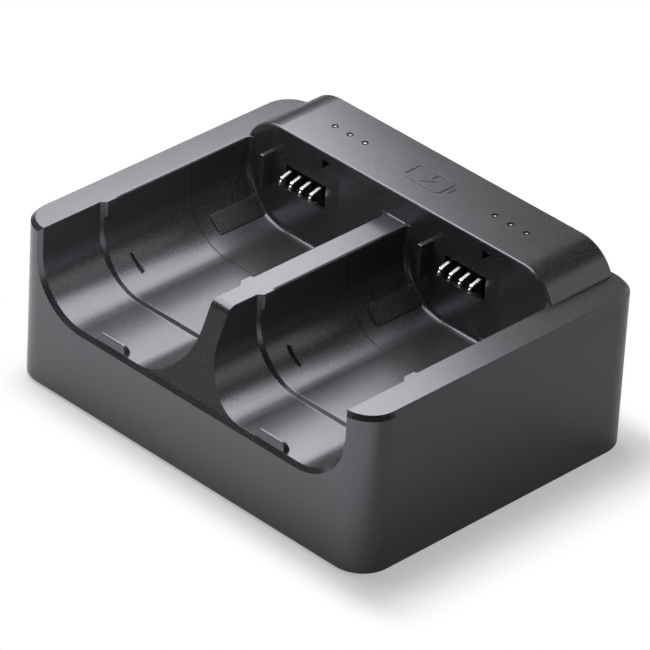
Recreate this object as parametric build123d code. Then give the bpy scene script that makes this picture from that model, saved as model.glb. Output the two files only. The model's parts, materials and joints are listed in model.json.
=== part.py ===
from build123d import *
import math
import os

# Twin-bay battery charger, in millimetres.
# X runs across the two bays, Y from the open front to the bar at the back, Z up.
# Heights below are measured from the lower edge of the body, which stands foot_stand above the table.

# Body
body_width = 104.0
body_depth = 79.6
wall_height = 37.65
corner_radius = 7.4
rim_chamfer = 0.95
foot_round = 0.5
skin = 2.2
foot_stand = 0.6

# Bar along the back
bar_width = 90.0
bar_depth = 18.35
bar_inset = 1.7
bar_rise = 6.05
bar_round = 9.6
bar_edge = 0.4
bar_lip = 2.0

# Battery bays
bay_width = 40.6
bay_floor = 18.7
bay_corner = 12.7
bay_step = 0.72
bay_step_setback = 16.8
bay_ramp = 0.8
bay_ramp_round = 0.3
bay_rear_round = 1.2
front_top_round = 0.2
rear_top_round = 0.55
divider_width = 6.4
divider_lean = 8.2
divider_round = 2.5
divider_cove = 0.4

# Small forms inside each bay, with X offsets counted from the bay's middle
key_rib_offset = -13.5
key_rib_width = 1.0
key_rib_depth = 3.3
key_rib_height = 8.0
key_rib_drop = 0.4
key_rib_round = 0.25
relief_offset = 1.1
relief_taper = 5.0
relief_depth = 0.45
notch_width = 2.6
notch_height = 2.3
notch_depth = 1.3
pad_start_angle = 217.0
pad_end_angle = 240.0
pad_rise = 0.3
pad_length = 13.6
pad_round = 0.12
guide_rib_width = 0.6
guide_rib_rise = 0.5
guide_rib_setback = 6.4
seam_width = 0.25
seam_depth = 0.2
seam_setback = 17.4
bump_length = 3.2
bump_height = 2.6
bump_drop = 0.75
bump_lip = 0.28
bump_rise = 0.5
bump_lead = 0.4
tab_width = 8.3
tab_height = 2.1
tab_thickness = 0.8
tab_foot = 1.8
tab_round = 1.2
tab_edge = 0.25

# Battery contacts
contact_count = 4
contact_pitch = 2.93
contact_offset = -3.4
contact_width = 0.7
contact_thickness = 0.35
contact_below_top = 9.1
contact_shoulder = 2.7
contact_slope = 0.7
contact_reach = 3.2
contact_drop = 2.2
contact_fall = 1.8
contact_bend = 0.5
window_margin = 1.5
window_above = 1.0
window_below = 5.0
block_recess = 1.0
block_flange = 1.2
block_depth = 4.0
comb_depth = 3.0

# Charge indicators
led_count = 3
led_pitch = 4.47
led_group_span = 47.0
led_length = 1.6
led_width = 0.8
led_height = 0.8
led_base = 0.35
led_end = 0.3
led_edge = 0.15
guide_diameter = 1.2
guide_web_width = 3.2
guide_web_thickness = 1.0
guide_recess = 0.25
guide_stem = 1.3
guide_gap = 0.2

# Circuit boards and what they carry
board_thickness = 1.6
board_height = 7.4
board_margin = 4.6
main_hole_inset = 8.9
main_hole_front = 11.8
main_hole_rear = 5.55
contact_board_margin = 3.4
tongue_width = 20.0
socket_wall = 1.6
socket_height = 7.0
socket_floor = 1.5
indicator_thickness = 1.2
indicator_depth = 9.0
indicator_hole_reach = 10.0
header_width = 12.0
header_depth = 2.5
header_overlap = 2.0
coil_size = 7.0
coil_height = 4.2
coil_round = 1.4
coil_edge = 0.4
coil_drum = 4.8
coil_groove = 0.5
coil_setback = 11.75
chip_size = 5.0
chip_height = 0.9
chip_edge = 0.12
chip_dot = 0.7
chip_dot_depth = 0.1
chip_setback = 26.75
capacitor_diameter = 6.3
capacitor_height = 5.8
capacitor_base = 1.0
capacitor_base_width = 6.6
capacitor_base_cut = 1.2
capacitor_crimp_height = 1.9
capacitor_crimp_width = 0.5
capacitor_crimp_depth = 0.35
capacitor_edge = 0.4
capacitor_setback = 37.75
capacitor_pitch = 39.0

# Power inlet in the back wall
inlet_width = 8.94
inlet_height = 3.26
inlet_length = 7.4
inlet_wall = 0.3
inlet_recess = 0.5
inlet_back = 1.6
tongue_plate_width = 6.7
tongue_plate_thickness = 0.7
tongue_plate_recess = 0.9

# Base plate, feet and fasteners
base_thickness = 2.2
base_recess = 0.3
base_lip = 1.2
base_rib_width = 1.2
base_rib_height = 1.6
base_rib_pitch = 30.0
base_screw_inset_x = 6.5
base_screw_inset_y = 6.4
boss_radius = 3.0
small_boss_radius = 2.4
gusset_width = 1.6
foot_diameter = 10.0
foot_inset_x = 16.0
foot_inset_y = 8.8
foot_seat = 0.9
foot_edge = 0.3
screw_diameter = 2.5
screw_length = 9.0
screw_head_diameter = 4.6
screw_head_height = 1.5
small_screw_diameter = 1.8
small_screw_length = 5.6
small_head_diameter = 3.4
small_head_height = 1.2
drive_width = 0.5
drive_depth = 0.6

# Clearances
fit = 0.05
slip = 0.15
shank_room = 0.2

# Planes and centres that follow from the sizes above
bar_height = wall_height + bar_rise
y_front = -body_depth / 2
y_back = body_depth / 2
y_bar_back = y_back - bar_inset
y_wall = y_bar_back - bar_depth
y_step = y_front + bay_step_setback
y_ramp_end = y_step + bay_ramp
y_led = y_wall + bar_depth / 2
bay_x = (bay_width + divider_width) / 2
narrow_floor = bay_floor + bay_step
section_top = bar_height + bar_rise
base_top = base_recess + base_thickness
board_top = board_height + board_thickness
led_group_x = led_group_span / 2
contact_z = bar_height - contact_below_top
window_half = (contact_count - 1) * contact_pitch / 2 + window_margin
y_wall_back = y_wall + skin
y_contact_board = y_wall_back + block_depth
bar_ceiling = bar_height - skin
guide_web_bottom = bar_ceiling - guide_web_thickness
led_top = guide_web_bottom - guide_stem - guide_gap
indicator_top = led_top - led_height
indicator_bottom = indicator_top - indicator_thickness
contact_board_top = indicator_bottom - small_head_height - slip
contact_board_bottom = contact_z - window_below - contact_board_margin
base_screw_x = body_width / 2 - base_screw_inset_x
base_screw_y = body_depth / 2 - base_screw_inset_y
foot_x = body_width / 2 - foot_inset_x
foot_y = body_depth / 2 - foot_inset_y
main_board_x = base_screw_x - boss_radius - board_margin
main_hole_x = main_board_x - main_hole_inset
coil_y = y_wall - coil_setback
chip_y = y_wall - chip_setback
capacitor_front_y = y_wall - capacitor_setback
capacitor_rear_y = capacitor_front_y + capacitor_pitch
SIDES = {"left": -1, "right": 1}


def block(x0, x1, y0, y1, z0, z1):
    """Box between two corners."""
    size = Box(x1 - x0, y1 - y0, z1 - z0)
    return Pos((x0 + x1) / 2, (y0 + y1) / 2, (z0 + z1) / 2) * size


def post(x, y, z0, z1, radius):
    """Upright cylinder."""
    return Pos(x, y, (z0 + z1) / 2) * Cylinder(radius, z1 - z0)


def peg(x, z, y0, y1, radius):
    """Cylinder along Y."""
    return Pos(x, (y0 + y1) / 2, z) * Rot(90, 0, 0) * Cylinder(radius, y1 - y0)


def facing_front(x, y):
    """Sketch plane across the body: local X is X, local Y is Z."""
    return Plane(origin=(x, y, 0), x_dir=(1, 0, 0), z_dir=(0, -1, 0))


def facing_side(x):
    """Sketch plane along the body: local X is Y, local Y is Z."""
    return Plane(origin=(x, 0, 0), x_dir=(0, 1, 0), z_dir=(1, 0, 0))


def along_y(section, length):
    """Extrude a section that faces the front towards the back."""
    return extrude(section, amount=length, dir=(0, 1, 0))


def group(solids):
    """Separate solids in one node."""
    return Compound([part.solid() for part in solids])


# Upper housing


def bay_section(side, y, grow):
    """U-shaped section of a bay, its narrow rear outline grown outwards."""
    floor = narrow_floor - grow
    height = section_top - floor
    outline = Pos(0, floor + height / 2) * Rectangle(bay_width + 2 * grow, height)
    low_corners = outline.vertices().group_by(Axis.Y)[0]
    return facing_front(side * bay_x, y) * fillet(low_corners, bay_corner - bay_step + grow)


def edges_across(form, y):
    """Edges of a form that lie in one plane across the body, without the one along its open top."""
    across = form.edges().filter_by(lambda edge: edge.bounding_box().size.Y < fit)
    here = across.filter_by(lambda edge: abs(edge.center().Y - y) < fit)
    return here.filter_by(lambda edge: edge.center().Z < wall_height)


def bay_space(side):
    """What the battery slides into: wide front zone, ramp and narrow rear zone, with a flared mouth."""
    front = along_y(bay_section(side, y_front, bay_step), bay_step_setback)
    ramp = loft([bay_section(side, y_step, bay_step), bay_section(side, y_ramp_end, 0)], ruled=True)
    rear = along_y(bay_section(side, y_ramp_end, 0), y_wall - y_ramp_end)
    rear = fillet(edges_across(rear, y_wall), bay_rear_round)
    space = front + ramp + rear
    space = fillet(edges_across(space, y_step) + edges_across(space, y_ramp_end), bay_ramp_round)
    mouth_outer = bay_section(side, y_front, bay_step + rim_chamfer)
    mouth_inner = bay_section(side, y_front + rim_chamfer, bay_step)
    return space + loft([mouth_outer, mouth_inner], ruled=True)


def wall_top_round(side, grow, radius, y0, y1):
    """What rounds off the inner top edges of both walls of a bay along one zone."""
    half = bay_width / 2 + grow
    square = Pos(half + radius / 2, wall_height - radius / 2) * Rectangle(radius, radius)
    corner = square - Pos(half + radius, wall_height - radius) * Circle(radius)
    section = corner + mirror(corner, Plane.YZ)
    return along_y(facing_front(side * bay_x, y0) * section, y1 - y0)


def divider_front():
    """What is cut away between the bays, in front of the divider's leaning nose."""
    foot = y_front + rim_chamfer
    top = foot + divider_lean
    behind = top + 2 * divider_round
    outline = Polygon(
        (y_front - rim_chamfer, bay_floor - 2 * rim_chamfer),
        (foot, bay_floor),
        (top, wall_height),
        (behind, wall_height),
        (behind, section_top),
        (y_front - rim_chamfer, section_top),
        align=None,
    )
    nose = outline.vertices().sort_by_distance((top, wall_height, 0))[0]
    profile = facing_side(-bay_x) * fillet(nose, divider_round)
    return extrude(profile, amount=2 * bay_x, dir=(1, 0, 0))


def divider_fillet():
    """Small cove where the divider's top meets the bar."""
    half = divider_cove / 2
    square = Pos(y_wall - half, wall_height + half) * Rectangle(divider_cove, divider_cove)
    section = square - Pos(y_wall - divider_cove, wall_height + divider_cove) * Circle(divider_cove)
    reach = divider_width / 2 - rear_top_round
    return extrude(facing_side(-reach) * section, amount=2 * reach, dir=(1, 0, 0))


def bar_form(inset):
    """Round-shouldered bar on the back of the body, or its hollow."""
    root = wall_height - bar_round
    height = bar_height - inset - root
    outline = Pos(0, root + height / 2) * Rectangle(bar_width - 2 * inset, height)
    shoulders = outline.vertices().group_by(Axis.Y)[-1]
    section = facing_front(0, y_wall + inset) * fillet(shoulders, bar_round - inset)
    return along_y(section, bar_depth - 2 * inset)


def outer_form():
    """Body block with its chamfered rim, and the bar with softened edges."""
    body = extrude(RectangleRounded(body_width, body_depth, corner_radius), amount=wall_height)
    body = chamfer(body.faces().sort_by(Axis.Z)[-1].edges(), rim_chamfer)
    body = fillet(body.faces().sort_by(Axis.Z)[0].edges(), foot_round)
    bar = bar_form(0)
    ends = bar.faces().sort_by(Axis.Y)
    crest = ends[0].edges().sort_by(Axis.Z)[1:] + ends[-1].edges().sort_by(Axis.Z)[1:]
    return body + fillet(crest, bar_edge)


def bay_skin(side):
    """Moulded wall round one bay, as the space that the hollow must leave."""
    overlap = y_ramp_end + skin
    front = along_y(bay_section(side, y_front, bay_step + skin), overlap - y_front)
    rear = along_y(bay_section(side, overlap, skin), y_wall_back - overlap)
    return front + rear


def corner_places():
    """X and Y of the four base screws."""
    return [(x, y) for x in (-base_screw_x, base_screw_x) for y in (-base_screw_y, base_screw_y)]


def main_board_places():
    """X and Y of the four main board screws."""
    rows = (y_front + main_hole_front, y_wall - main_hole_rear)
    return [(x, y) for x in (-main_hole_x, main_hole_x) for y in rows]


def contact_board_places():
    """X and Z of the three contact board screws, clear of the contact blocks."""
    beside = contact_offset + window_half + block_flange + 3 * small_boss_radius
    outer = -bay_x + contact_offset - window_half - block_flange - 2 * small_boss_radius
    height = contact_z - window_below / 2
    return [(outer, height), (-bay_x + beside, height), (bay_x + beside, height)]


def indicator_places():
    """X of the four indicator board screws."""
    reach = indicator_hole_reach
    return [side * led_group_x + shift for side in (-1, 1) for shift in (-reach, reach)]


def bosses():
    """Screw bosses and gussets that stand inside the hollow housing."""
    result = block(-divider_width / 2, divider_width / 2, y_front, y_wall_back, bay_floor, wall_height)
    for x, y in corner_places():
        wall_x = math.copysign(body_width / 2, x)
        result += post(x, y, base_top, wall_height, boss_radius)
        half = gusset_width / 2
        result += block(min(x, wall_x), max(x, wall_x), y - half, y + half, base_top, wall_height)
    for x, y in main_board_places():
        result += post(x, y, board_top, wall_height, small_boss_radius)
    for x, z in contact_board_places():
        result += peg(x, z, y_wall, y_contact_board, small_boss_radius)
    for x in indicator_places():
        result += post(x, y_led, indicator_top, bar_height, small_boss_radius)
    return result


def hollow():
    """Open underside of the housing, with a rebate for the base plate."""
    inner_width = body_width - 2 * skin
    inner_depth = body_depth - 2 * skin
    inner_radius = corner_radius - skin
    result = extrude(RectangleRounded(inner_width, inner_depth, inner_radius), amount=wall_height - skin)
    result += bar_form(skin)
    for side in SIDES.values():
        result -= bay_skin(side)
    result -= Pos(0, skin, -skin) * divider_front()
    result -= bosses()
    return result + base_outline(base_lip, 0, base_top)


def base_outline(inset, z0, z1):
    """Rounded plate that follows the body's outline."""
    plate = RectangleRounded(body_width - 2 * inset, body_depth - 2 * inset, corner_radius - inset)
    return extrude(Pos(0, 0, z0) * plate, amount=z1 - z0)


def pilot_holes():
    """Holes in the bosses, each a little deeper than its screw."""
    room = shank_room
    radius = screw_diameter / 2 + fit
    small = small_screw_diameter / 2 + fit
    deep = screw_length - (base_thickness - screw_head_height) + room
    reach = small_screw_length - board_thickness + room
    upper_reach = small_screw_length - indicator_thickness + room
    upper_top = min(indicator_top + upper_reach, bar_height - skin / 2)
    holes = [post(x, y, base_recess, base_top + deep, radius) for x, y in corner_places()]
    holes += [post(x, y, board_height, board_top + reach, small) for x, y in main_board_places()]
    holes += [peg(x, z, y_contact_board - reach, y_contact_board, small) for x, z in contact_board_places()]
    holes += [post(x, y_led, indicator_bottom, upper_top, small) for x in indicator_places()]
    return holes


def led_places(side):
    """X of the indicator lights over one bay."""
    middle = (led_count - 1) / 2
    return [side * led_group_x + (i - middle) * led_pitch for i in range(led_count)]


def wall_openings():
    """Light holes in the bar, contact windows in the rear walls and the inlet's mouth in the back."""
    radius = guide_diameter / 2 + fit
    cuts = []
    for side in SIDES.values():
        middle = side * bay_x + contact_offset
        low = contact_z - window_below
        high = contact_z + window_above
        cuts.append(block(middle - window_half, middle + window_half, y_wall, y_wall_back, low, high))
        cuts += [post(x, y_led, bar_ceiling, bar_height, radius) for x in led_places(side)]
    mouth = inlet_section(slip, y_back - skin)
    flare_inner = inlet_section(slip, y_back - inlet_recess)
    flare_outer = inlet_section(slip + inlet_recess, y_back)
    cuts += [along_y(mouth, skin), loft([flare_inner, flare_outer], ruled=True)]
    return cuts


def rear_relief(side):
    """Shallow tapering panel sunk into a bay's rear wall under the lip, with a latch notch at its corner."""
    start = side * bay_x + relief_offset
    end = start + bay_width
    top = bar_height - bar_lip
    deep = y_wall + relief_depth
    plan = Polygon((start, y_wall), (end, y_wall), (end, deep), (start + relief_taper, deep), align=None)
    panel = extrude(Pos(0, 0, narrow_floor) * plan, amount=top - narrow_floor)
    panel &= along_y(bay_section(side, y_wall, -bay_rear_round), relief_depth)
    notch = Polygon((start, top - notch_height), (start, top), (start + notch_width, top), align=None)
    return panel + along_y(facing_front(0, y_wall) * notch, notch_depth)


def seam_groove(side):
    """Fine mould line round a bay."""
    return along_y(bay_section(side, y_wall - seam_setback, seam_depth), seam_width)


def curve_pad(side, y0, y1, rise):
    """Flat raised facet on the left lower curve of a bay."""
    radius = bay_corner - bay_step
    centre_x = side * bay_x - bay_width / 2 + radius
    centre_z = narrow_floor + radius
    half_span = math.radians(pad_end_angle - pad_start_angle) / 2
    face = radius * math.cos(half_span) - rise
    width = 2 * radius * math.sin(half_span)
    root = radius + skin / 2
    slab = Pos((face + root) / 2, 0, 0) * Box(root - face, y1 - y0, width)
    slab = fillet(slab.faces().sort_by(Axis.X)[0].edges(), pad_round)
    turn = Rot(0, -(pad_start_angle + pad_end_angle) / 2, 0)
    return Pos(centre_x, (y0 + y1) / 2, centre_z) * turn * slab


def retaining_bumps(side):
    """Low bumps at the top of both walls, just behind the step, with a sloped lead."""
    root = bay_width / 2 + skin / 2
    wall = bay_width / 2
    face = wall - bump_rise
    high = wall_height - bump_drop
    low = high - bump_height
    profile = Polygon(
        (root, wall_height),
        (wall - bump_lip, wall_height),
        (face, high),
        (face, low),
        (wall, low - bump_rise),
        (root, low - bump_rise),
        align=None,
    )
    right = along_y(facing_front(side * bay_x, y_ramp_end) * profile, bump_length)
    lead = right.faces().sort_by(Axis.Y)[0].edges().sort_by(Axis.X)[0]
    right = chamfer(lead, bump_lead)
    return right + mirror(right, Plane.YZ.offset(side * bay_x))


def floor_tab(side):
    """Catch that holds the battery's front edge: upright in front, sloping down behind."""
    front = y_front + rim_chamfer
    low = bay_floor - skin / 2
    high = bay_floor + tab_height
    profile = Polygon(
        (front, low),
        (front + tab_foot, low),
        (front + tab_foot, bay_floor),
        (front + tab_thickness, high),
        (front, high),
        align=None,
    )
    crest = profile.vertices().group_by(Axis.Y)[-1]
    left = side * bay_x - tab_width / 2
    wedge = extrude(facing_side(left) * fillet(crest, tab_edge), amount=tab_width, dir=(1, 0, 0))
    outline = Pos(0, (low + high) / 2) * Rectangle(tab_width, high - low)
    shoulders = outline.vertices().group_by(Axis.Y)[-1]
    section = facing_front(side * bay_x, front) * fillet(shoulders, tab_round)
    return wedge & along_y(section, tab_foot)


def key_rib(side):
    """Upright rib on the rear wall that keys the battery the right way round."""
    middle = side * bay_x + key_rib_offset
    half = key_rib_width / 2
    front = y_wall - key_rib_depth
    top = wall_height - key_rib_drop
    rib = block(middle - half, middle + half, front, y_wall + skin / 2, top - key_rib_height, top)
    return fillet(rib.faces().sort_by(Axis.Y)[0].edges(), key_rib_round)


def upper_housing():
    """One moulding: outer walls, both bays, the divider between them and the bar."""
    result = outer_form() - divider_front()
    for side in SIDES.values():
        result -= bay_space(side)
        result -= wall_top_round(side, bay_step, front_top_round, y_front + rim_chamfer, y_step)
        result -= wall_top_round(side, 0, rear_top_round, y_ramp_end, y_wall - bay_rear_round)
        result -= rear_relief(side)
        result -= seam_groove(side)
    result += divider_fillet()
    for side in SIDES.values():
        rib_y = y_step + guide_rib_setback
        result += key_rib(side)
        result += curve_pad(side, y_wall - pad_length, y_wall + skin / 2, pad_rise)
        result += curve_pad(side, rib_y, rib_y + guide_rib_width, guide_rib_rise)
        result += retaining_bumps(side)
        result += floor_tab(side)
    result -= hollow()
    for cut in pilot_holes() + wall_openings():
        result -= cut
    return result


# Base


def base_plate():
    """Bottom cover with screw counterbores, foot pockets and stiffening ribs."""
    plate = base_outline(base_lip + slip, base_recess, base_top)
    ribs_top = base_top + base_rib_height
    reach_x = foot_x
    reach_y = foot_y - foot_diameter / 2
    half = base_rib_width / 2
    for x in (-base_rib_pitch / 2, base_rib_pitch / 2):
        plate += block(x - half, x + half, -reach_y, reach_y, base_top, ribs_top)
    plate += block(-reach_x, reach_x, -half, half, base_top, ribs_top)
    seat = base_recess + screw_head_height
    for x, y in corner_places():
        plate -= post(x, y, base_recess, base_top, screw_diameter / 2 + slip)
        plate -= post(x, y, base_recess, seat, screw_head_diameter / 2 + slip)
    for x, y in foot_places().values():
        plate -= post(x, y, base_recess, base_recess + foot_seat, foot_diameter / 2 + fit)
    return plate


def foot_places():
    """Name, X and Y of the four feet."""
    rows = {"front": -foot_y, "rear": foot_y}
    return {f"foot_{row}_{name}": (side * foot_x, y) for row, y in rows.items() for name, side in SIDES.items()}


def foot(x, y):
    """Soft pad pressed into a pocket of the base plate."""
    pad = post(x, y, -foot_stand, base_recess + foot_seat, foot_diameter / 2)
    return fillet(pad.edges().sort_by(Axis.Z)[0], foot_edge)


def screw(shank, length, head, head_height):
    """Pan head screw along +Z with its seat at zero and a cross drive."""
    result = Pos(0, 0, length / 2) * Cylinder(shank / 2, length)
    result += Pos(0, 0, -head_height / 2) * Cylinder(head / 2, head_height)
    arm = head - 2 * drive_width
    cross = Box(arm, drive_width, drive_depth) + Box(drive_width, arm, drive_depth)
    return result - Pos(0, 0, drive_depth / 2 - head_height) * cross


def large_screw():
    """Screw that holds the base plate."""
    return screw(screw_diameter, screw_length, screw_head_diameter, screw_head_height)


def small_screw():
    """Screw that holds a circuit board."""
    return screw(small_screw_diameter, small_screw_length, small_head_diameter, small_head_height)


def base_screws():
    """Four screws from below into the corner bosses."""
    return group([Pos(x, y, base_recess + screw_head_height) * large_screw() for x, y in corner_places()])


# Circuit boards


def main_board():
    """Charging board that hangs under the bay floors."""
    y0 = y_front + skin + board_margin
    y1 = y_back - skin - fit
    outline = Pos(0, (y0 + y1) / 2, board_height) * RectangleRounded(2 * main_board_x, y1 - y0, coil_round)
    result = extrude(outline, amount=board_thickness)
    for x, y in main_board_places():
        result -= post(x, y, board_height, board_top, small_screw_diameter / 2 + slip)
    return result


def board_screws():
    """Four screws from below into the bay floors' bosses."""
    return group([Pos(x, y, board_height) * small_screw() for x, y in main_board_places()])


def contact_board():
    """Upright board behind the rear walls, with a tongue down to the main board."""
    half_x = bay_x + bay_width / 2 - contact_board_margin
    y0 = y_contact_board
    y1 = y0 + board_thickness
    result = block(-half_x, half_x, y0, y1, contact_board_bottom, contact_board_top)
    half_tongue = tongue_width / 2
    result += block(-half_tongue, half_tongue, y0, y1, board_top + socket_floor, contact_board_top)
    for x, z in contact_board_places():
        result -= peg(x, z, y0, y1, small_screw_diameter / 2 + slip)
    for side in SIDES.values():
        for x in contact_places(side):
            half = contact_width / 2 + fit
            rise = contact_thickness / 2 + fit
            result -= block(x - half, x + half, y0, y1, contact_z - rise, contact_z + rise)
    return result


def contact_board_screws():
    """Three screws from behind into the rear walls' bosses."""
    back = y_contact_board + board_thickness
    turn = Rot(90, 0, 0)
    return group([Pos(x, back, z) * turn * small_screw() for x, z in contact_board_places()])


def board_socket():
    """Edge socket on the main board that takes the contact board's tongue."""
    half_x = tongue_width / 2 + fit
    y0 = y_contact_board - fit
    y1 = y_contact_board + board_thickness + fit
    top = board_top + socket_height
    wall = socket_wall
    body = block(-half_x - wall, half_x + wall, y0 - wall, y1 + wall, board_top, top)
    return body - block(-half_x, half_x, y0, y1, board_top + socket_floor, top)


def indicator_board():
    """Small board under the bar's top that carries the lights."""
    half_x = led_group_x + indicator_hole_reach + small_boss_radius
    half_y = indicator_depth / 2
    result = block(-half_x, half_x, y_led - half_y, y_led + half_y, indicator_bottom, indicator_top)
    for x in indicator_places():
        result -= post(x, y_led, indicator_bottom, indicator_top, small_screw_diameter / 2 + slip)
    return result


def indicator_screws():
    """Four screws from below into the bar's bosses."""
    short = bar_height - skin / 2 - indicator_bottom - shank_room
    length = min(small_screw_length, short)
    one = screw(small_screw_diameter, length, small_head_diameter, small_head_height)
    return group([Pos(x, y_led, indicator_bottom) * one for x in indicator_places()])


def indicator_header():
    """Right-angle header between the contact board and the indicator board."""
    y0 = y_contact_board + board_thickness
    half_x = header_width / 2
    return block(-half_x, half_x, y0, y0 + header_depth, contact_board_top - header_overlap, indicator_bottom)


def coil(side):
    """Shielded coil of one charging channel, with its drum showing in a ring groove."""
    x = side * bay_x
    top = board_top + coil_height
    groove_floor = top - coil_groove
    outline = Pos(x, coil_y, board_top) * RectangleRounded(coil_size, coil_size, coil_round)
    shield = extrude(outline, amount=coil_height)
    shield = fillet(shield.faces().sort_by(Axis.Z)[-1].edges(), coil_edge)
    ring = post(x, coil_y, groove_floor, top, coil_drum / 2 + coil_groove)
    return shield - (ring - post(x, coil_y, groove_floor, top, coil_drum / 2))


def charge_chip(side):
    """Charge controller of one channel, with a dimple at its first pin."""
    half = chip_size / 2
    x = side * bay_x
    top = board_top + chip_height
    body = block(x - half, x + half, chip_y - half, chip_y + half, board_top, top)
    body = chamfer(body.faces().sort_by(Axis.Z)[-1].edges(), chip_edge)
    corner = half - chip_dot
    return body - post(x - corner, chip_y + corner, top - chip_dot_depth, top, chip_dot / 2)


def capacitor():
    """Can with a rolled-in groove, on a square base with two cut corners that mark its polarity."""
    outline = Rectangle(capacitor_base_width, capacitor_base_width)
    marked = outline.vertices().group_by(Axis.X)[-1]
    base = extrude(chamfer(marked, capacitor_base_cut), amount=capacitor_base)
    can = post(0, 0, capacitor_base, capacitor_height, capacitor_diameter / 2)
    can = fillet(can.faces().sort_by(Axis.Z)[-1].edges(), capacitor_edge)
    crimp_top = capacitor_crimp_height + capacitor_crimp_width
    ring = post(0, 0, capacitor_crimp_height, crimp_top, capacitor_diameter / 2)
    neck = post(0, 0, capacitor_crimp_height, crimp_top, capacitor_diameter / 2 - capacitor_crimp_depth)
    return base + can - (ring - neck)


def capacitors():
    """Four filter capacitors on the main board."""
    places = [(side * bay_x, y) for side in SIDES.values() for y in (capacitor_front_y, capacitor_rear_y)]
    return group([Pos(x, y, board_top) * capacitor() for x, y in places])


# Power inlet


def inlet_section(grow, y):
    """Oblong outline of the inlet, standing on the main board."""
    outline = SlotOverall(inlet_width + 2 * grow, inlet_height + 2 * grow)
    return facing_front(0, y) * Pos(0, board_top + inlet_height / 2) * outline


def inlet_shell():
    """Drawn metal shell, open at the back of the body."""
    y0 = y_back - inlet_recess - inlet_length
    body = along_y(inlet_section(0, y0), inlet_length)
    return body - along_y(inlet_section(-inlet_wall, y0 + inlet_wall), inlet_length - inlet_wall)


def inlet_tongue():
    """Insulator at the back of the shell with the contact tongue."""
    y0 = y_back - inlet_recess - inlet_length + inlet_wall
    base = along_y(inlet_section(-inlet_wall - fit, y0), inlet_back)
    middle = board_top + inlet_height / 2
    half_x = tongue_plate_width / 2
    half_z = tongue_plate_thickness / 2
    y1 = y_back - inlet_recess - tongue_plate_recess
    return base + block(-half_x, half_x, y0, y1, middle - half_z, middle + half_z)


# Battery contacts


def contact_places(side):
    """X of the contacts of one bay."""
    middle = (contact_count - 1) / 2
    return [side * bay_x + contact_offset + (i - middle) * contact_pitch for i in range(contact_count)]


def contact_block(side):
    """Insulator that fills the window in a rear wall and keeps the contacts apart."""
    middle = side * bay_x + contact_offset
    half = window_half - slip
    low = contact_z - window_below + slip
    high = contact_z + window_above - slip
    flange = block_flange + slip
    y0 = y_wall + block_recess
    result = block(middle - half, middle + half, y0, y_wall_back, low, high)
    result += block(
        middle - half - flange, middle + half + flange, y_wall_back, y_contact_board, low - flange, high + flange
    )
    slot = contact_width / 2 + fit
    rise = contact_thickness / 2 + fit
    for x in contact_places(side):
        result -= block(x - slot, x + slot, y0, y0 + comb_depth, low + slip, contact_z + rise)
        result -= block(x - slot, x + slot, y0, y_contact_board, contact_z - rise, contact_z + rise)
    return result


def contact(x):
    """Sprung strip: soldered tail, sloping upper run, steep nose that the battery presses, and a tucked end."""
    path = FilletPolyline(
        (x, y_contact_board + board_thickness, contact_z),
        (x, y_wall, contact_z),
        (x, y_wall - contact_shoulder, contact_z - contact_slope),
        (x, y_wall - contact_reach, contact_z - contact_drop),
        (x, y_wall + block_recess, contact_z - contact_drop - contact_fall),
        radius=contact_bend,
    )
    start = Plane(origin=path @ 0, x_dir=(1, 0, 0), z_dir=path % 0)
    return sweep(start * Rectangle(contact_width, contact_thickness), path=path)


# Charge indicators


def light_guide(side):
    """Clear moulding: a web under the bar's top with one pin up to each hole and one stem down to each light."""
    places = led_places(side)
    half = guide_web_width / 2
    web = block(places[0] - half, places[-1] + half, y_led - half, y_led + half, guide_web_bottom, bar_ceiling)
    for x in places:
        web += post(x, y_led, guide_web_bottom - guide_stem, bar_height - guide_recess, guide_diameter / 2)
    return web


def led(x):
    """Light emitting chip on the indicator board: a flat base under a smaller clear cap."""
    half_x = led_length / 2
    half_y = led_width / 2
    cap_x = half_x - led_end
    seat = indicator_top + led_base
    base = block(x - half_x, x + half_x, y_led - half_y, y_led + half_y, indicator_top, seat)
    cap = block(x - cap_x, x + cap_x, y_led - half_y, y_led + half_y, seat, led_top)
    return base + chamfer(cap.faces().sort_by(Axis.Z)[-1].edges(), led_edge)


def nodes():
    """Every piece of the charger by name."""
    result = {
        "upper_housing": upper_housing(),
        "base_plate": base_plate(),
        "base_screws": base_screws(),
        "main_board": main_board(),
        "board_screws": board_screws(),
        "contact_board": contact_board(),
        "contact_board_screws": contact_board_screws(),
        "board_socket": board_socket(),
        "indicator_board": indicator_board(),
        "indicator_screws": indicator_screws(),
        "indicator_header": indicator_header(),
        "filter_capacitors": capacitors(),
        "inlet_shell": inlet_shell(),
        "inlet_tongue": inlet_tongue(),
    }
    for name, (x, y) in foot_places().items():
        result[name] = foot(x, y)
    for name, side in SIDES.items():
        result[f"charge_chip_{name}"] = charge_chip(side)
        result[f"coil_{name}"] = coil(side)
        result[f"contact_block_{name}"] = contact_block(side)
        result[f"light_guide_{name}"] = light_guide(side)
        for number, x in enumerate(contact_places(side), 1):
            result[f"contact_{name}_{number}"] = contact(x)
        for number, x in enumerate(led_places(side), 1):
            result[f"led_{name}_{number}"] = led(x)
    return result


os.makedirs("parts", exist_ok=True)
for node_name, shape in nodes().items():
    export_step(Pos(0, 0, foot_stand) * shape, f"parts/{node_name}.step")
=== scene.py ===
"""Finishes, sign, studio and camera for a twin-bay camera battery charger."""

import json
import logging
import math
from dataclasses import dataclass
from enum import Enum

import bmesh
import bpy
from mathutils import Matrix, Quaternion, Vector


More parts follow.
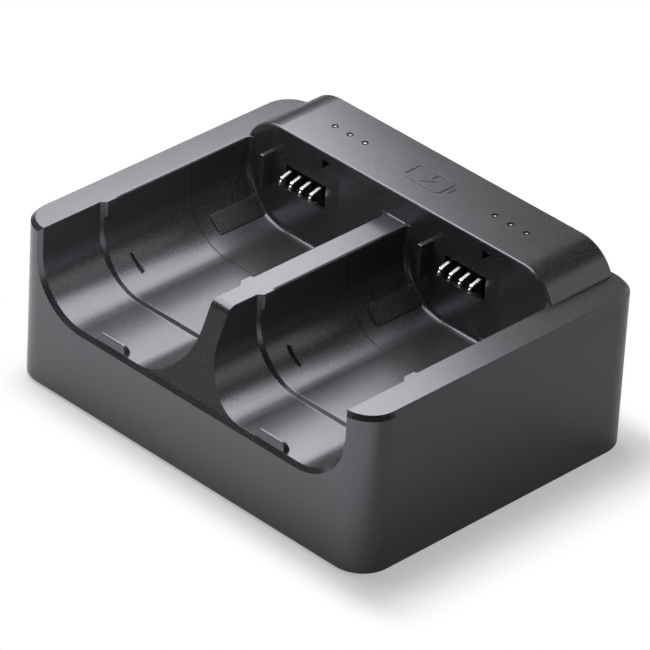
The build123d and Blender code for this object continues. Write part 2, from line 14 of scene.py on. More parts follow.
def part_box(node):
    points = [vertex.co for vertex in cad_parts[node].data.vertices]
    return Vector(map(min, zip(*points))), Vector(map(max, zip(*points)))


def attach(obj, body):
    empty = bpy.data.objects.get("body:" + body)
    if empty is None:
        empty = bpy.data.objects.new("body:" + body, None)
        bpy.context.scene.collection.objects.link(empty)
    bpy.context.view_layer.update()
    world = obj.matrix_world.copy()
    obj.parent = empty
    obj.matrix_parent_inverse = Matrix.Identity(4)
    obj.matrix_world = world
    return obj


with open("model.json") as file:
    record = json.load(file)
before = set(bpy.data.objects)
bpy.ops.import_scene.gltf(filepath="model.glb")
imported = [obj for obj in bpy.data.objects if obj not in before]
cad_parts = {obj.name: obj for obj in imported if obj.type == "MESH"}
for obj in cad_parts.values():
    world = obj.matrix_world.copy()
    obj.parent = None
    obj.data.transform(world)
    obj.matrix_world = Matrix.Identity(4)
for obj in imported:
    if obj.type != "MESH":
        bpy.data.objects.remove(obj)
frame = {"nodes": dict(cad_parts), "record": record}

LOG = logging.getLogger("charger")
MM = 0.001
BODY = "root"

SIDES = ("left", "right")
FACES_UP = 0.9
EDGE_SEGMENTS = 2

Colour = tuple[float, float, float]
Size = tuple[float, float, float]


class Slot(Enum):
    """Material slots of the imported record."""

    HOUSING = "housing"
    BASE = "base"
    FOOT = "foot"
    SCREW = "screw"
    CONTACT = "contact"
    INSULATOR = "insulator"
    CIRCUIT_BOARD = "circuit_board"
    COMPONENT = "component"
    CAPACITOR_CAN = "capacitor_can"
    INLET_METAL = "inlet_metal"
    LIGHT_GUIDE = "light_guide"
    LED = "led"


class Wires:
    """Adds and joins the nodes of one node tree."""

    def __init__(self, tree: bpy.types.NodeTree) -> None:
        """Start on a tree with no nodes left in it.

        Args:
            tree: Node tree of a material, a world or a group.
        """
        self.tree = tree
        tree.nodes.clear()

    def feed(self, socket: bpy.types.NodeSocket, value: object) -> None:
        """Link an output to a socket, or set a plain value on it.

        Args:
            socket: Input that takes the value.
            value: Output socket, number, colour or vector.
        """
        if isinstance(value, bpy.types.NodeSocket):
            self.tree.links.new(value, socket)
        else:
            socket.default_value = value

    def add(self, kind: str, inputs: dict | None = None, **settings: object) -> bpy.types.Node:
        """Add a node.

        Args:
            kind: Type of the node.
            inputs: Input names or numbers, each with a plain value or an output socket.
            settings: Properties of the node itself.

        Returns:
            The new node.
        """
        node = self.tree.nodes.new(kind)
        for name, value in settings.items():
            setattr(node, name, value)
        for name, value in (inputs or {}).items():
            self.feed(node.inputs[name], value)
        return node

    def maths(self, operation: str, first: object, second: object) -> bpy.types.NodeSocket:
        """Join two values by one operation and return the result."""
        return self.add("ShaderNodeMath", {0: first, 1: second}, operation=operation).outputs[0]

    def span(self, value: object, low: float, high: float, start: object, end: object) -> bpy.types.NodeSocket:
        """Map a value from low and high to start and end, and return the result."""
        inputs = {"Value": value, "From Min": low, "From Max": high, "To Min": start, "To Max": end}
        return self.add("ShaderNodeMapRange", inputs).outputs["Result"]

    def blend(self, share: object, first: Colour, second: Colour) -> bpy.types.NodeSocket:
        """Mix two colours by a share and return the result."""
        node = self.add("ShaderNodeMix", {0: share, 6: opaque(first), 7: opaque(second)}, data_type="RGBA")
        return node.outputs[2]

    def use(self, group: bpy.types.NodeTree, inputs: dict) -> dict[str, bpy.types.NodeSocket]:
        """Place a node group.

        Args:
            group: The group's tree.
            inputs: Values or outputs for the group's inputs.

        Returns:
            The group's outputs by name.
        """
        node = self.add("ShaderNodeGroup", node_tree=group)
        for name, value in inputs.items():
            self.feed(node.inputs[name], value)
        return {socket.name: socket for socket in node.outputs}


def opaque(colour: Colour) -> tuple[float, float, float, float]:
    """Give a colour its alpha."""
    return (*colour, 1.0)


def shade(colour: Colour, factor: float) -> Colour:
    """Make a colour lighter or darker by a factor."""
    return tuple(min(1.0, channel * factor) for channel in colour)


def new_group(name: str, inputs: dict[str, str], outputs: dict[str, str]) -> bpy.types.NodeTree:
    """Start a shader node group.

    Args:
        name: Name of the group.
        inputs: Input names, each with its kind.
        outputs: Output names, each with its kind.

    Returns:
        The group's tree with its sockets in place.
    """
    tree = bpy.data.node_groups.new(name, "ShaderNodeTree")
    for direction, sockets in (("INPUT", inputs), ("OUTPUT", outputs)):
        for label, kind in sockets.items():
            tree.interface.new_socket(label, in_out=direction, socket_type=f"NodeSocket{kind}")
    return tree


@dataclass(frozen=True)
class MouldGrain:
    """Spark-eroded texture of a mould: fine pits with slow changes of gloss."""

    name: str = "mould_grain"
    slow_scale: float = 45.0
    octaves: float = 3.0
    pit_range: tuple[float, float] = (0.38, 0.62)
    gloss_range: tuple[float, float] = (0.3, 0.7)

    def build(self) -> bpy.types.NodeTree:
        """Build the group.

        Returns:
            Group that puts out a height, a pit mask and a slow change of gloss.
        """
        inputs = {"Vector": "Vector", "Grain Scale": "Float"}
        tree = new_group(self.name, inputs, {"Height": "Float", "Pits": "Float", "Gloss": "Float"})
        wires = Wires(tree)
        given = wires.add("NodeGroupInput").outputs
        place = given["Vector"]
        fine_inputs = {"Vector": place, "Scale": given["Grain Scale"], "Detail": self.octaves}
        fine = wires.add("ShaderNodeTexNoise", fine_inputs).outputs["Fac"]
        cells = wires.add("ShaderNodeTexVoronoi", {"Vector": place, "Scale": given["Grain Scale"]})
        slow = wires.add("ShaderNodeTexNoise", {"Vector": place, "Scale": self.slow_scale}).outputs["Fac"]
        height = wires.maths("ADD", fine, cells.outputs["Distance"])
        pits = wires.span(fine, *self.pit_range, 1.0, 0.0)
        gloss = wires.span(slow, *self.gloss_range, -1.0, 1.0)
        wires.add("NodeGroupOutput", {"Height": height, "Pits": pits, "Gloss": gloss})
        return tree


@dataclass(frozen=True)
class DrawnLines:
    """Fine lines that rolling leaves along a strip of metal, and its patches of tarnish."""

    name: str = "drawn_lines"
    line_scale: float = 9000.0
    patch_scale: float = 450.0
    patch_range: tuple[float, float] = (0.4, 0.75)
    stretch: float = 0.05

    def build(self) -> bpy.types.NodeTree:
        """Build the group.

        Returns:
            Group that puts out the lines' height and a tarnish mask.
        """
        tree = new_group(self.name, {"Vector": "Vector"}, {"Height": "Float", "Tarnish": "Float"})
        wires = Wires(tree)
        place = wires.add("NodeGroupInput").outputs["Vector"]
        drawn = wires.add("ShaderNodeMapping", {"Vector": place, "Scale": (1.0, self.stretch, self.stretch)})
        lines = wires.add("ShaderNodeTexNoise", {"Vector": drawn.outputs["Vector"], "Scale": self.line_scale})
        patches = wires.add("ShaderNodeTexNoise", {"Vector": place, "Scale": self.patch_scale})
        tarnish = wires.span(patches.outputs["Fac"], *self.patch_range, 0.0, 1.0)
        wires.add("NodeGroupOutput", {"Height": lines.outputs["Fac"], "Tarnish": tarnish})
        return tree


class Finish:
    """What every finish shares: a fresh material with object coordinates and one surface shader."""

    name: str

    def start(self) -> tuple[bpy.types.Material, Wires, bpy.types.NodeSocket]:
        """Make an empty material.

        Returns:
            The material, the helper on its tree and its object coordinates.
        """
        material = bpy.data.materials.new(self.name)
        material.use_nodes = True
        wires = Wires(material.node_tree)
        place = wires.add("ShaderNodeTexCoord").outputs["Object"]
        return material, wires, place

    def close(self, wires: Wires, inputs: dict) -> None:
        """Add the surface shader and the output.

        Args:
            wires: Helper on the material's tree.
            inputs: Sockets of the shader, each with a value or an output.
        """
        shader = wires.add("ShaderNodeBsdfPrincipled", inputs)
        wires.add("ShaderNodeOutputMaterial", {"Surface": shader.outputs["BSDF"]})


@dataclass(frozen=True)
class MouldedPlastic(Finish):
    """Plastic with the texture of its mould."""

    name: str
    grain: bpy.types.NodeTree
    colour: Colour
    roughness: float
    ior: float = 1.5
    specular: float = 0.5
    sheen_tint: Colour = (1.0, 1.0, 1.0)
    gloss_change: float = 0.02
    pit_shade: float = 1.25
    grain_size: float = 0.35 * MM
    grain_depth: float = 0.004 * MM
    edge_round: float = 0.12 * MM

    def build(self) -> bpy.types.Material:
        """Build the material.

        Returns:
            Plastic with fine pits, slow changes of gloss and softened edges.
        """
        material, wires, place = self.start()
        grain = wires.use(self.grain, {"Vector": place, "Grain Scale": 1.0 / self.grain_size})
        change = wires.maths("MULTIPLY", grain["Gloss"], self.gloss_change)
        edges = wires.add("ShaderNodeBevel", {"Radius": self.edge_round}).outputs["Normal"]
        bump_inputs = {"Height": grain["Height"], "Distance": self.grain_depth, "Normal": edges}
        bump = wires.add("ShaderNodeBump", bump_inputs)
        self.close(wires, {
            "Base Color": wires.blend(grain["Pits"], shade(self.colour, self.pit_shade), self.colour),
            "Roughness": wires.maths("ADD", change, self.roughness),
            "Normal": bump.outputs["Normal"],
            "IOR": self.ior,
            "Specular IOR Level": self.specular,
            "Specular Tint": opaque(self.sheen_tint),
        })
        return material


@dataclass(frozen=True)
class PlatedMetal(Finish):
    """Rolled or drawn metal with a bright or dark plating."""

    name: str
    lines: bpy.types.NodeTree
    colour: Colour
    roughness: float
    tarnish_shade: float = 0.75
    tarnish_roughness: float = 0.12
    line_depth: float = 0.002 * MM

    def build(self) -> bpy.types.Material:
        """Build the material.

        Returns:
            Metal with drawn lines and a little tarnish.
        """
        material, wires, place = self.start()
        lines = wires.use(self.lines, {"Vector": place})
        dull = self.roughness + self.tarnish_roughness
        bump = wires.add("ShaderNodeBump", {"Height": lines["Height"], "Distance": self.line_depth})
        self.close(wires, {
            "Base Color": wires.blend(lines["Tarnish"], self.colour, shade(self.colour, self.tarnish_shade)),
            "Roughness": wires.span(lines["Tarnish"], 0.0, 1.0, self.roughness, dull),
            "Normal": bump.outputs["Normal"],
            "Metallic": 1.0,
        })
        return material


@dataclass(frozen=True)
class SolderMask(Finish):
    """Lacquered circuit board with covered tracks and tinned pads."""

    name: str
    colour: Colour
    pad_colour: Colour
    track_shade: float = 1.7
    track_scale: float = 420.0
    track_width: float = 0.08
    track_depth: float = 0.03 * MM
    pad_scale: float = 260.0
    pad_radius: float = 0.16
    roughness: float = 0.3

    def build(self) -> bpy.types.Material:
        """Build the material.

        Returns:
            Green lacquer over a net of tracks, with round pads.
        """
        material, wires, place = self.start()
        net_inputs = {"Vector": place, "Scale": self.track_scale}
        net = wires.add("ShaderNodeTexVoronoi", net_inputs, feature="DISTANCE_TO_EDGE").outputs["Distance"]
        dots = wires.add("ShaderNodeTexVoronoi", {"Vector": place, "Scale": self.pad_scale}).outputs["Distance"]
        tracks = wires.maths("LESS_THAN", net, self.track_width)
        pads = wires.maths("LESS_THAN", dots, self.pad_radius)
        lacquer = wires.blend(tracks, self.colour, shade(self.colour, self.track_shade))
        mix_inputs = {0: pads, 6: lacquer, 7: opaque(self.pad_colour)}
        colour = wires.add("ShaderNodeMix", mix_inputs, data_type="RGBA").outputs[2]
        bump = wires.add("ShaderNodeBump", {"Height": tracks, "Distance": self.track_depth})
        self.close(wires, {
            "Base Color": colour,
            "Roughness": self.roughness,
            "Metallic": pads,
            "Normal": bump.outputs["Normal"],
        })
        return material


@dataclass(frozen=True)
class MilkyPlastic(Finish):
    """Cloudy clear plastic of a light guide or a light's lens."""

    name: str
    colour: Colour
    cloud_shade: float = 0.92
    cloud_scale: float = 900.0
    roughness: float = 0.28

    def build(self) -> bpy.types.Material:
        """Build the material.

        Returns:
            Pale plastic with soft clouds.
        """
        material, wires, place = self.start()
        clouds = wires.add("ShaderNodeTexNoise", {"Vector": place, "Scale": self.cloud_scale}).outputs["Fac"]
        self.close(wires, {
            "Base Color": wires.blend(clouds, shade(self.colour, self.cloud_shade), self.colour),
            "Roughness": self.roughness,
        })
        return material


def dress(node: str, material: bpy.types.Material) -> None:
    """Give a CAD node its finish.

    Args:
        node: Name of the node.
        material: Finish for all of the node's slots.
    """
    for place in frame["nodes"][node].material_slots:
        place.material = material
    LOG.info("%s wears %s", node, material.name)


def new_piece(name: str, mesh: bmesh.types.BMesh, material: bpy.types.Material) -> bpy.types.Object:
    """Turn a finished bmesh into a piece of the charger.

    Args:
        name: Name of the piece.
        mesh: Its shape, already in place.
        material: Its finish.

    Returns:
        The object, riding on the body.
    """
    data = bpy.data.meshes.new(name)
    mesh.to_mesh(data)
    mesh.free()
    data.materials.append(material)
    piece = bpy.data.objects.new(name, data)
    bpy.context.scene.collection.objects.link(piece)
    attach(piece, BODY)
    LOG.info("%s added with %d faces in %s", name, len(data.polygons), material.name)
    return piece


def flat_box(mesh: bmesh.types.BMesh, x: float, length: float, width: float) -> bmesh.types.BMFace:
    """Add a flat rectangle that faces up, with its middle on the X axis.

    Args:
        mesh: Mesh that the rectangle is added to.
        x: Place of its middle.
        length: Size along X.
        width: Size along Y.

    Returns:
        The new face.
    """
    half_x = length / 2
    half_y = width / 2
    corners = ((x - half_x, -half_y), (x + half_x, -half_y), (x + half_x, half_y), (x - half_x, half_y))
    return mesh.faces.new([mesh.verts.new((*corner, 0.0)) for corner in corners])


def raise_faces(mesh: bmesh.types.BMesh, height: float, edge: float) -> None:
    """Give flat faces a height, with closed sides and softened upper edges.

    Args:
        mesh: Flat faces at Z zero.
        height: How far they are raised.
        edge: Width of the bevel round the raised faces.
    """
    raised = bmesh.ops.extrude_face_region(mesh, geom=mesh.faces[:])["geom"]
    tops = [item for item in raised if isinstance(item, bmesh.types.BMVert)]
    bmesh.ops.translate(mesh, verts=tops, vec=(0.0, 0.0, height))
    bmesh.ops.recalc_face_normals(mesh, faces=mesh.faces[:])
    rims = [line for line in mesh.edges if is_rim(line)]
    bmesh.ops.bevel(mesh, geom=rims, offset=edge, affect="EDGES", segments=EDGE_SEGMENTS,
                    profile=0.5, material=-1)


def is_rim(line: bmesh.types.BMEdge) -> bool:
    """Tell whether an edge runs between a raised face and a side."""
    slopes = sorted(face.normal.z for face in line.link_faces)
    return len(slopes) == 2 and slopes[1] > FACES_UP > abs(slopes[0])


@dataclass(frozen=True)
class Palette:
    """Every finish of the charger, ready to hand to the sub-assemblies."""

    housing_colour: Colour = (0.017, 0.017, 0.0181)
    housing_sheen: Colour = (0.92, 0.915, 1.0)
    base_colour: Colour = (0.02, 0.02, 0.021)
    # Colour of the insulator blocks, and also the painted shade of the rings round the light holes.
    insulator_and_hole_shade_colour: Colour = (0.006, 0.006, 0.0065)
    rubber_colour: Colour = (0.03, 0.03, 0.031)
    resin_colour: Colour = (0.018, 0.018, 0.019)
    steel_colour: Colour = (0.09, 0.09, 0.095)
    contact_colour: Colour = (0.78, 0.77, 0.74)
    nickel_colour: Colour = (0.66, 0.65, 0.62)
    can_colour: Colour = (0.8, 0.81, 0.82)
    mask_colour: Colour = (0.012, 0.1, 0.04)
    tin_colour: Colour = (0.75, 0.75, 0.74)
    guide_colour: Colour = (0.95, 0.95, 0.94)
    lens_colour: Colour = (0.88, 0.85, 0.72)
    coarse: float = 0.4 * MM
    deep: float = 0.02 * MM

    def build(self) -> dict[Slot, bpy.types.Material]:
        """Build the finishes.

        Returns:
            One material for each slot.
        """
        grain = MouldGrain().build()
        lines = DrawnLines().build()
        rough = {"grain_size": self.coarse, "grain_depth": self.deep}
        finishes = {
            Slot.HOUSING: MouldedPlastic("satin_black_plastic", grain, self.housing_colour, 0.26,
                                         ior=1.64, specular=1.0, sheen_tint=self.housing_sheen, pit_shade=2.8),
            Slot.BASE: MouldedPlastic("matt_black_plastic", grain, self.base_colour, 0.6, **rough),
            Slot.FOOT: MouldedPlastic("soft_black_rubber", grain, self.rubber_colour, 0.8, **rough),
            # Finish of the insulator blocks, and also the painted shade of the rings round the light holes.
            Slot.INSULATOR: MouldedPlastic("insulator_plastic_and_painted_shade", grain, self.insulator_and_hole_shade_colour, 0.6, specular=0.1),
            Slot.COMPONENT: MouldedPlastic("component_resin", grain, self.resin_colour, 0.55),
            Slot.SCREW: PlatedMetal("blackened_steel", lines, self.steel_colour, 0.38),
            Slot.CONTACT: PlatedMetal("bright_contact_plating", lines, self.contact_colour, 0.2),
            Slot.INLET_METAL: PlatedMetal("nickel_shell", lines, self.nickel_colour, 0.26),
            Slot.CAPACITOR_CAN: PlatedMetal("drawn_aluminium", lines, self.can_colour, 0.3),
            Slot.CIRCUIT_BOARD: SolderMask("green_solder_mask", self.mask_colour, self.tin_colour),
            Slot.LIGHT_GUIDE: MilkyPlastic("milky_light_guide", self.guide_colour),
            Slot.LED: MilkyPlastic("light_lens", self.lens_colour),
        }
        return {slot: finish.build() for slot, finish in finishes.items()}


@dataclass
class SubAssembly:
    """Pieces that are put together as one unit of the charger."""

    palette: dict[Slot, bpy.types.Material]

    def nodes(self) -> tuple[str, ...]:
        """Names of the CAD nodes in this unit."""
        return ()

    def dress(self) -> None:
        """Give each node of the unit the finish of its record slot."""
        for row in frame["record"]["subparts"]:
            if row["node"] in self.nodes():
                dress(row["node"], self.palette[Slot(row["material_slot"])])

    def build(self) -> None:
        """Add what the CAD nodes leave out, and dress the unit."""
        self.dress()


@dataclass
class Casing(SubAssembly):
    """Upper housing with its charging sign, base plate, base screws and feet."""

    sign_length: float = 10.8 * MM
    sign_width: float = 6.2 * MM
    sign_line: float = 0.5 * MM
    sign_corner: float = 1.3 * MM
    corner_segments: int = 6
    sign_height: float = 0.15 * MM
    sign_sunk: float = 0.02 * MM
    sign_edge: float = 0.06 * MM
    pole_length: float = 0.9 * MM
    pole_width: float = 2.6 * MM
    pole_gap: float = 0.3 * MM
    bolt_reach: float = 1.7 * MM
    bolt_height: float = 4.2 * MM
    bolt_waist: float = 0.35 * MM
    bolt_tip: float = 0.7 * MM

    def nodes(self) -> tuple[str, ...]:
        """Names of the CAD nodes in this unit."""
        feet = tuple(f"foot_{row}_{side}" for row in ("front", "rear") for side in SIDES)
        return ("upper_housing", "base_plate", "base_screws", *feet)

    def build(self) -> None:
        """Dress the casing and mould the sign on its bar."""
        self.dress()
        new_piece("charging_sign", self.sign(), self.palette[Slot.HOUSING])

    def sign(self) -> bmesh.types.BMesh:
        """Model a raised outline of a battery with a bolt in it, on top of the bar.

        Returns:
            The sign, in the middle between the two groups of lights.
        """
        low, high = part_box("light_guide_left")
        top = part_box("upper_housing")[1][2] - self.sign_sunk
        mesh = bmesh.new()
        self.outline(mesh)
        self.pole(mesh)
        self.bolt(mesh)
        raise_faces(mesh, self.sign_height + self.sign_sunk, self.sign_edge)
        bmesh.ops.translate(mesh, verts=mesh.verts[:], vec=(0.0, (low[1] + high[1]) / 2, top))
        return mesh

    def outline(self, mesh: bmesh.types.BMesh) -> None:
        """Add the battery's rounded outline.

        Args:
            mesh: Sign that the flat outline is added to.
        """
        body = flat_box(mesh, 0.0, self.sign_length, self.sign_width)
        bmesh.ops.bevel(mesh, geom=body.verts[:], offset=self.sign_corner, affect="VERTICES",
                        segments=self.corner_segments, profile=0.5, material=-1)
        inside = mesh.faces[:]
        bmesh.ops.inset_individual(mesh, faces=inside, thickness=self.sign_line, use_even_offset=True)
        bmesh.ops.delete(mesh, geom=inside, context="FACES")

    def pole(self, mesh: bmesh.types.BMesh) -> None:
        """Add the battery's pole at the end of its outline, with a small gap."""
        middle = (self.sign_length + self.pole_length) / 2 + self.pole_gap
        flat_box(mesh, middle, self.pole_length, self.pole_width)

    def bolt(self, mesh: bmesh.types.BMesh) -> None:
        """Add the bolt in the middle of the outline.

        Args:
            mesh: Sign that the flat bolt is added to.
        """
        half = self.bolt_height / 2
        arm = [(self.bolt_tip, half), (-self.bolt_reach, -self.bolt_waist), (-self.bolt_waist, -self.bolt_waist)]
        points = arm + [(-x, -y) for x, y in arm]
        mesh.faces.new([mesh.verts.new((x, y, 0.0)) for x, y in points])


@dataclass
class ChargingBoards(SubAssembly):
    """Main board, contact board and indicator board, with what is soldered on them and what holds them."""

    def nodes(self) -> tuple[str, ...]:
        """Name the CAD nodes in this unit.

        Returns:
            Boards, screws, sockets and the parts of both charging channels.
        """
        boards = ("main_board", "contact_board", "indicator_board")
        screws = ("board_screws", "contact_board_screws", "indicator_screws")
        channels = tuple(f"{part}_{side}" for part in ("charge_chip", "coil") for side in SIDES)
        return (*boards, *screws, "board_socket", "indicator_header", "filter_capacitors", *channels)


@dataclass
class BatteryContacts(SubAssembly):
    """Sprung strips in the rear wall of each bay, and the blocks that keep them apart."""

    strips: int = 4
    point_size: Size = (0.42 * MM, 0.36 * MM, 0.85 * MM)
    point_back: float = 0.33 * MM
    point_drop: float = 1.6 * MM
    point_lean: float = 48.0
    point_rings: int = 12

    def nodes(self) -> tuple[str, ...]:
        """Names of the CAD nodes in this unit."""
        return (*self.strip_names(), *(f"contact_block_{side}" for side in SIDES))

    def strip_names(self) -> tuple[str, ...]:
        """Names of the strips."""
        return tuple(f"contact_{side}_{i}" for side in SIDES for i in range(1, self.strips + 1))

    def build(self) -> None:
        """Dress the contacts and round off their noses."""
        self.dress()
        new_piece("contact_points", self.points(), self.palette[Slot.CONTACT])

    def points(self) -> bmesh.types.BMesh:
        """Model the rounded points that touch the battery.

        Returns:
            One bead on the nose of each strip.
        """
        lean = Quaternion((1.0, 0.0, 0.0), -math.radians(self.point_lean))
        mesh = bmesh.new()
        for name in self.strip_names():
            low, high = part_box(name)
            middle = ((low[0] + high[0]) / 2, low[1] + self.point_back, high[2] - self.point_drop)
            place = Matrix.LocRotScale(Vector(middle), lean, Vector(self.point_size))
            bmesh.ops.create_uvsphere(mesh, u_segments=2 * self.point_rings, v_segments=self.point_rings,
                                      radius=1.0, matrix=place)
        for face in mesh.faces:
            face.smooth = True
        return mesh


@dataclass
class Indicators(SubAssembly):
    """Lights over each bay and the guides that bring them to the bar's top."""

    lights: int = 3
    shade_ring_radius: float = 0.76 * MM
    shade_ring_width: float = 0.3 * MM
    shade_ring_height: float = 0.06 * MM
    shade_ring_sunk: float = 0.03 * MM
    shade_ring_edge: float = 0.02 * MM
    shade_ring_segments: int = 32

    def nodes(self) -> tuple[str, ...]:
        """Names of the CAD nodes in this unit."""
        return (*self.light_names(), *(f"light_guide_{side}" for side in SIDES))

    def light_names(self) -> tuple[str, ...]:
        """Names of the lights."""
        return tuple(f"led_{side}_{i}" for side in SIDES for i in range(1, self.lights + 1))

    def build(self) -> None:
        """Dress the lights and lay a dark ring round each light hole, as painted shade of the hole's walls."""
        self.dress()
        # Painted shade: very dark rings stand in for the shaded walls of the light holes.
        new_piece("light_hole_painted_shade", self.rims(), self.palette[Slot.INSULATOR])

    def rims(self) -> bmesh.types.BMesh:
        """Model the dark rings of painted shade over the edges of the light guides' pins.

        Returns:
            One low ring of painted shade over each light.
        """
        mesh = bmesh.new()
        for name in self.light_names():
            low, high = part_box(name)
            middle = Matrix.Translation(((low[0] + high[0]) / 2, (low[1] + high[1]) / 2, 0.0))
            disc = bmesh.ops.create_circle(mesh, cap_ends=True, segments=self.shade_ring_segments,
                                           radius=self.shade_ring_radius, matrix=middle)
            inside = list(disc["verts"][0].link_faces)
            bmesh.ops.inset_individual(mesh, faces=inside, thickness=self.shade_ring_width, use_even_offset=True)
            bmesh.ops.delete(mesh, geom=inside, context="FACES")
        raise_faces(mesh, self.shade_ring_height + self.shade_ring_sunk, self.shade_ring_edge)
        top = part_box("upper_housing")[1][2] - self.shade_ring_sunk
        bmesh.ops.translate(mesh, verts=mesh.verts[:], vec=(0.0, 0.0, top))
        return mesh


@dataclass
class PowerInlet(SubAssembly):
    """Inlet in the back wall, with the plated strips of its tongue."""

    strips: int = 12
    pitch: float = 0.5 * MM
    strip_width: float = 0.3 * MM
    strip_length: float = 3.2 * MM
    strip_height: float = 0.05 * MM
    strip_edge: float = 0.015 * MM
    tongue_thickness: float = 0.7 * MM
    end_gap: float = 0.4 * MM

    def nodes(self) -> tuple[str, ...]:
        """Names of the CAD nodes in this unit."""
        return ("inlet_shell", "inlet_tongue")

    def build(self) -> None:
        """Dress the inlet and lay its strips."""
        self.dress()
        new_piece("inlet_strips", self.plated_strips(), self.palette[Slot.CONTACT])

    def plated_strips(self) -> bmesh.types.BMesh:
        """Model the strips on both faces of the tongue.

        Returns:
            Rows of thin strips that lie on the tongue, along Y.
        """
        low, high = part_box("inlet_tongue")
        mesh = bmesh.new()
        for number in range(self.strips):
            x = (number - (self.strips - 1) / 2) * self.pitch
            flat_box(mesh, x, self.strip_width, self.strip_length)
        raise_faces(mesh, self.strip_height, self.strip_edge)
        bmesh.ops.translate(mesh, verts=mesh.verts[:], vec=(0.0, 0.0, self.tongue_thickness / 2))
        upper_row = mesh.verts[:] + mesh.edges[:] + mesh.faces[:]
        bmesh.ops.mirror(mesh, geom=upper_row, matrix=Matrix.Identity(4), merge_dist=0.0, axis="Z")
        bmesh.ops.recalc_face_normals(mesh, faces=mesh.faces[:])
        end = high[1] - self.end_gap - self.strip_length / 2
        bmesh.ops.translate(mesh, verts=mesh.verts[:], vec=(0.0, end, (low[2] + high[2]) / 2))
        return mesh


@dataclass(frozen=True)
class Softbox:
    """Rectangular lamp hung near the charger, leaning over it."""

    name: str
    azimuth: float
    elevation: float
    distance: float
    back_azimuth: float
    back_elevation: float
    width: float
    height: float
    radiance: float
    turn: float = 0.0
    middle: tuple[float, float, float] = (0.0, 0.0, 0.03)

    def build(self) -> None:
        """Hang the lamp."""
        data = bpy.data.lights.new(self.name, "AREA")
        data.shape = "RECTANGLE"
        data.size = self.width
        data.size_y = self.height
        data.energy = self.radiance * math.pi * self.width * self.height
        lamp = bpy.data.objects.new(self.name, data)
        lamp.location = Vector(self.middle) + outward(self.azimuth, self.elevation) * self.distance
        back = outward(self.back_azimuth, self.back_elevation).to_track_quat("Z", "Y")
        lamp.rotation_euler = (back @ Quaternion((0.0, 0.0, 1.0), math.radians(self.turn))).to_euler()
        bpy.context.scene.collection.objects.link(lamp)
        LOG.info("%s hung", self.name)


def outward(azimuth: float, elevation: float) -> Vector:
    """Work out a direction from the charger.

    Args:
        azimuth: Degrees round it, 0 in front and 90 at its right side.
        elevation: Degrees above the table.

    Returns:
        The direction, one long.
    """
    turn = math.radians(azimuth)
    rise = math.radians(elevation)
    return Vector((math.sin(turn) * math.cos(rise), -math.cos(turn) * math.cos(rise), math.sin(rise)))


@dataclass(frozen=True)
class Floor:
    """White table that keeps the charger's shadow near its foot."""

    reach: float = 6.0
    bounce: float = 0.8
    shaded: float = 0.56
    glow: float = 0.42
    fade: tuple[float, float] = (20.0 * MM, 10.0 * MM)
    mirror_shaded: float = 0.69
    mirror_glow: float = 0.10
    mirror_fade: float = 2500.0 * MM
    mirror_front: float = 42.0 * MM

    def build(self) -> bpy.types.Object:
        """Lay the floor.

        Returns:
            The floor, marked as stage.
        """
        mesh = bmesh.new()
        bmesh.ops.create_grid(mesh, x_segments=1, y_segments=1, size=self.reach)
        data = bpy.data.meshes.new("floor")
        mesh.to_mesh(data)
        mesh.free()
        data.materials.append(self.material())
        floor = bpy.data.objects.new("floor", data)
        bpy.context.scene.collection.objects.link(floor)
        return floor

    def material(self) -> bpy.types.Material:
        """Paint the floor.

        Returns:
            White to the camera away from the charger, and lit near its foot. Gloss sees the lit table
            over a wider reach, and bounced light meets a plain pale surface.
        """
        material = bpy.data.materials.new("white_table")
        material.use_nodes = True
        wires = Wires(material.node_tree)
        path = wires.add("ShaderNodeLightPath").outputs
        direct = path["Is Camera Ray"]
        seen = wires.maths("MAXIMUM", direct, path["Is Glossy Ray"])
        seen = wires.maths("MAXIMUM", seen, path["Is Transmission Ray"])
        paper = wires.add("ShaderNodeBsdfDiffuse", {"Color": opaque((self.bounce,) * 3)}).outputs[0]
        lit = wires.span(direct, 0.0, 1.0, self.mirror_shaded, self.shaded)
        lit = wires.add("ShaderNodeBsdfDiffuse", {"Color": lit}).outputs[0]
        glow = wires.span(direct, 0.0, 1.0, self.mirror_glow, self.glow)
        glow = wires.add("ShaderNodeEmission", {"Strength": glow}).outputs[0]
        near = wires.add("ShaderNodeAddShader", {0: lit, 1: glow}).outputs[0]
        white = wires.add("ShaderNodeEmission", {"Strength": 1.0}).outputs[0]
        gap = {"Value": self.gap(wires, direct)}
        clear = wires.add("ShaderNodeMapRange", gap, interpolation_type="SMOOTHSTEP").outputs["Result"]
        table = wires.add("ShaderNodeMixShader", {0: clear, 1: near, 2: white}).outputs[0]
        surface = wires.add("ShaderNodeMixShader", {0: seen, 1: paper, 2: table}).outputs[0]
        wires.add("ShaderNodeOutputMaterial", {"Surface": surface})
        return material

    def gap(self, wires: Wires, direct: bpy.types.NodeSocket) -> bpy.types.NodeSocket:
        """Measure how far a point of the floor lies outside the charger's outline.

        Args:
            wires: Helper on the floor's node tree.
            direct: One where the camera looks at the floor, zero where a gloss shows it.

        Returns:
            The distance as a share of the fade's length on that side, which is zero under the charger.
        """
        low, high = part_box("upper_housing")
        place = wires.add("ShaderNodeTexCoord").outputs["Object"]
        axes = wires.add("ShaderNodeSeparateXYZ", {"Vector": place}).outputs
        front = wires.maths("LESS_THAN", axes[1], 0.0)
        mirrored = (self.mirror_fade, wires.span(front, 0.0, 1.0, self.mirror_fade, self.mirror_front))
        squares = []
        for axis in range(2):
            offset = wires.maths("SUBTRACT", axes[axis], (low[axis] + high[axis]) / 2)
            beyond = wires.maths("SUBTRACT", wires.maths("ABSOLUTE", offset, 0.0), (high[axis] - low[axis]) / 2)
            length = wires.span(direct, 0.0, 1.0, mirrored[axis], self.fade[axis])
            share = wires.maths("DIVIDE", wires.maths("MAXIMUM", beyond, 0.0), length)
            squares.append(wires.maths("MULTIPLY", share, share))
        return wires.maths("POWER", wires.maths("ADD", *squares), 0.5)


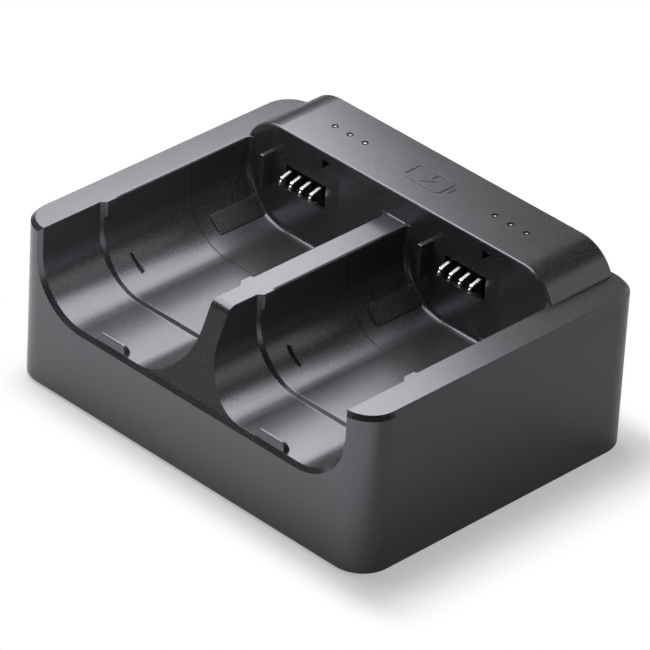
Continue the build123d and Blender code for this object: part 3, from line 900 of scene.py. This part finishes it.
@dataclass(frozen=True)
class StudioRoom:
    """Dim room round the table, pale where the camera looks past the table."""

    strength: float = 0.031

    def build(self) -> None:
        """Set the world."""
        world = bpy.data.worlds.new("studio_room")
        world.use_nodes = True
        wires = Wires(world.node_tree)
        seen = wires.add("ShaderNodeLightPath").outputs["Is Camera Ray"]
        strength = wires.span(seen, 0.0, 1.0, self.strength, 1.0)
        room = wires.add("ShaderNodeBackground", {"Strength": strength}).outputs[0]
        wires.add("ShaderNodeOutputWorld", {"Surface": room})
        bpy.context.scene.world = world


@dataclass(frozen=True)
class PhotoCamera:
    """Camera at the photograph's viewing angle."""

    azimuth: float = 43.703
    elevation: float = 32.51
    roll: float = 3.27
    distance: float = 1274.31 * MM
    aim_right: float = 0.951 * MM
    aim_up: float = 16.455 * MM
    table_gap: float = 0.6 * MM
    lens: float = 337.53
    sensor: float = 36.0

    def build(self) -> None:
        """Place the camera."""
        back = outward(self.azimuth, self.elevation)
        level = Vector((0, 0, 1)).cross(back).normalized()
        upright = back.cross(level)
        turn = math.radians(self.roll)
        right = math.cos(turn) * level + math.sin(turn) * upright
        up = back.cross(right)
        place = back * self.distance + right * self.aim_right + up * self.aim_up
        data = bpy.data.cameras.new("photo_camera")
        data.lens = self.lens
        data.sensor_width = self.sensor
        camera = bpy.data.objects.new("photo_camera", data)
        camera.matrix_world = Matrix.Translation(place + Vector((0, 0, self.table_gap))) @ Matrix(
            (right, up, back)
        ).transposed().to_4x4()
        bpy.context.scene.collection.objects.link(camera)
        bpy.context.scene.camera = camera


@dataclass(frozen=True)
class Studio:
    """Lamps, room, floor and camera."""

    lamps: tuple[Softbox, ...] = (
        Softbox(
            name="key_softbox", azimuth=265.7, elevation=52.9, distance=0.140,
            back_azimuth=191.5, back_elevation=85.0, width=0.190, height=0.217, radiance=3.50, turn=53.2,
        ),
        Softbox(
            name="rear_panel", azimuth=223.7, elevation=32.5, distance=1.2,
            back_azimuth=223.7, back_elevation=32.5, width=0.70, height=0.50, radiance=0.28,
        ),
        Softbox(
            name="back_panel", azimuth=152.9, elevation=18.1, distance=1.2,
            back_azimuth=152.9, back_elevation=18.1, width=2.54, height=0.84, radiance=0.60,
        ),
    )

    def build(self) -> None:
        """Set up everything round the charger."""
        for lamp in self.lamps:
            lamp.build()
        StudioRoom().build()
        Floor().build()
        PhotoCamera().build()
        bpy.context.scene.view_settings.view_transform = "Standard"


def main() -> None:
    """Dress the charger and set up its studio."""
    logging.basicConfig(level=logging.INFO, format="%(name)s: %(message)s")
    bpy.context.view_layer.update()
    palette = Palette().build()
    for unit in (Casing, ChargingBoards, BatteryContacts, Indicators, PowerInlet):
        unit(palette).build()
    Studio().build()


if __name__ == "__main__":
    main()
